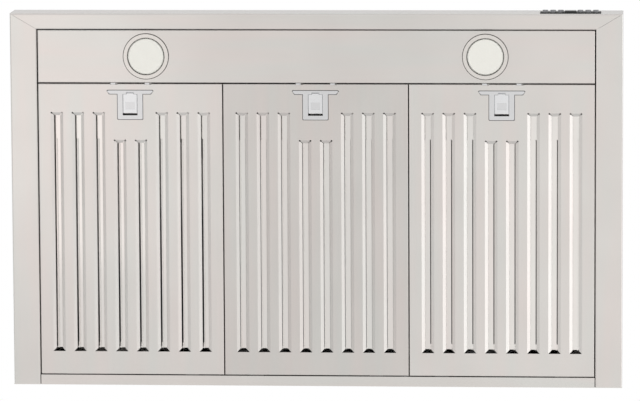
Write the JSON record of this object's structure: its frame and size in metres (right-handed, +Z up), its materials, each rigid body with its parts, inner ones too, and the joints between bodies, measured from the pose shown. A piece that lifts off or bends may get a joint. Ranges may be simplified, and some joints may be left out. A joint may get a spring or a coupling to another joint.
{
  "type": "wall mount range hood",
  "caption": "Wall mount range hood with a pyramid canopy, swing-down baffle filters, lamps, push buttons, a blower with damper, and a telescoping chimney cover.",
  "frame": {"origin": "on the wall plane, at the middle of the bottom edge of the canopy's back panel", "axes": "+X to the right of a person facing the hood, +Y into the wall, +Z up"},
  "size_m": [0.914, 0.5647, 0.7228],
  "materials": {
    "brushed_steel": "brushed stainless sheet",
    "galvanised_steel": "galvanised sheet",
    "satin_plate": "satin chrome plate",
    "zinc_steel": "zinc plated steel",
    "motor_grey": "grey painted steel",
    "heat_sink": "cast aluminium",
    "lens_plastic": "clear disc",
    "led_board": "white board with yellow chips",
    "black_plastic": "black satin plastic",
    "display_black": "glossy black window",
    "button_grey": "grey satin plastic",
    "circuit_green": "green circuit board",
    "white_plastic": "white plastic",
    "black_rubber": "black rubber"
  },
  "bodies": {
    "hood": {"canopy_front": "brushed_steel", "canopy_left": "brushed_steel", "canopy_right": "brushed_steel", "canopy_back": "galvanised_steel", "top_plate": "galvanised_steel", "rear_rail": "brushed_steel", "light_panel": "brushed_steel", "panel_screws": "zinc_steel", "lamp_ring_left": "brushed_steel", "lamp_ring_right": "brushed_steel", "lamp_lens_left": "lens_plastic", "lamp_lens_right": "lens_plastic", "lamp_leds_left": "led_board", "lamp_leds_right": "led_board", "lamp_cup_left": "heat_sink", "lamp_cup_right": "heat_sink", "lamp_springs": "zinc_steel", "lamp_driver": "white_plastic", "control_strip": "black_plastic", "control_board": "circuit_green", "display_lens": "display_black", "blower_housing": "galvanised_steel", "blower_screws": "zinc_steel", "motor_bracket": "galvanised_steel", "motor": "motor_grey", "junction_box": "galvanised_steel", "junction_cover": "galvanised_steel", "run_capacitor": "white_plastic", "cord_grommet": "black_rubber", "duct_collar": "galvanised_steel", "damper_pin": "zinc_steel", "lower_cover": "brushed_steel", "cover_screws": "zinc_steel", "chimney_bracket": "galvanised_steel"},
    "filter_left": {"filter_face_left": "brushed_steel", "filter_baffle_left": "brushed_steel", "latch_case_left": "satin_plate", "latch_spring_left": "zinc_steel"},
    "latch_left": {"latch_slide_left": "satin_plate"},
    "filter_middle": {"filter_face_middle": "brushed_steel", "filter_baffle_middle": "brushed_steel", "latch_case_middle": "satin_plate", "latch_spring_middle": "zinc_steel"},
    "latch_middle": {"latch_slide_middle": "satin_plate"},
    "filter_right": {"filter_face_right": "brushed_steel", "filter_baffle_right": "brushed_steel", "latch_case_right": "satin_plate", "latch_spring_right": "zinc_steel"},
    "latch_right": {"latch_slide_right": "satin_plate"},
    "push_1": {"button_1": "button_grey"},
    "push_2": {"button_2": "button_grey"},
    "push_3": {"button_3": "button_grey"},
    "push_4": {"button_4": "button_grey"},
    "push_5": {"button_5": "button_grey"},
    "push_6": {"button_6": "button_grey"},
    "rotor": {"impeller": "galvanised_steel", "motor_shaft": "zinc_steel"},
    "flap_front": {"damper_front": "galvanised_steel"},
    "flap_rear": {"damper_rear": "galvanised_steel"},
    "chimney_slide": {"upper_cover": "brushed_steel"}
  },
  "joints": [
    {"name": "filter_left_swing", "type": "hinge", "parent": "hood", "child": "filter_left", "pos_m": [-0.27733, -0.0149, 0.00115], "axis": [1, 0, 0], "range_deg": [0, 45]},
    {"name": "latch_left_slide", "type": "slide", "parent": "filter_left", "child": "latch_left", "axis": [0, 1, 0], "range_m": [0, 0.003], "stiffness_N_per_m": 600, "springref_m": -0.004, "deforming": ["latch_spring_left"]},
    {"name": "filter_middle_swing", "type": "hinge", "parent": "hood", "child": "filter_middle", "pos_m": [0, -0.0149, 0.00115], "axis": [1, 0, 0], "range_deg": [0, 45]},
    {"name": "latch_middle_slide", "type": "slide", "parent": "filter_middle", "child": "latch_middle", "axis": [0, 1, 0], "range_m": [0, 0.003], "stiffness_N_per_m": 600, "springref_m": -0.004, "deforming": ["latch_spring_middle"]},
    {"name": "filter_right_swing", "type": "hinge", "parent": "hood", "child": "filter_right", "pos_m": [0.27733, -0.0149, 0.00115], "axis": [1, 0, 0], "range_deg": [0, 45]},
    {"name": "latch_right_slide", "type": "slide", "parent": "filter_right", "child": "latch_right", "axis": [0, 1, 0], "range_m": [0, 0.003], "stiffness_N_per_m": 600, "springref_m": -0.004, "deforming": ["latch_spring_right"]},
    {"name": "button_1_press", "type": "slide", "parent": "hood", "child": "push_1", "axis": [0, 1, 0], "range_m": [0, 0.0016], "stiffness_N_per_m": 800, "springref_m": -0.001},
    {"name": "button_2_press", "type": "slide", "parent": "hood", "child": "push_2", "axis": [0, 1, 0], "range_m": [0, 0.0016], "stiffness_N_per_m": 800, "springref_m": -0.001},
    {"name": "button_3_press", "type": "slide", "parent": "hood", "child": "push_3", "axis": [0, 1, 0], "range_m": [0, 0.0016], "stiffness_N_per_m": 800, "springref_m": -0.001},
    {"name": "button_4_press", "type": "slide", "parent": "hood", "child": "push_4", "axis": [0, 1, 0], "range_m": [0, 0.0016], "stiffness_N_per_m": 800, "springref_m": -0.001},
    {"name": "button_5_press", "type": "slide", "parent": "hood", "child": "push_5", "axis": [0, 1, 0], "range_m": [0, 0.0016], "stiffness_N_per_m": 800, "springref_m": -0.001},
    {"name": "button_6_press", "type": "slide", "parent": "hood", "child": "push_6", "axis": [0, 1, 0], "range_m": [0, 0.0016], "stiffness_N_per_m": 800, "springref_m": -0.001},
    {"name": "impeller_spin", "type": "hinge", "parent": "hood", "child": "rotor", "pos_m": [0, -0.1, 0.135], "axis": [1, 0, 0], "continuous": true},
    {"name": "damper_front_swing", "type": "hinge", "parent": "hood", "child": "flap_front", "pos_m": [0, -0.14, 0.309], "axis": [-1, 0, 0], "range_deg": [0, 80]},
    {"name": "damper_rear_swing", "type": "hinge", "parent": "hood", "child": "flap_rear", "pos_m": [0, -0.14, 0.309], "axis": [1, 0, 0], "range_deg": [0, 80]},
    {"name": "upper_cover_lift", "type": "slide", "parent": "hood", "child": "chimney_slide", "axis": [0, 0, 1], "range_m": [0, 0.3]}
  ]
}
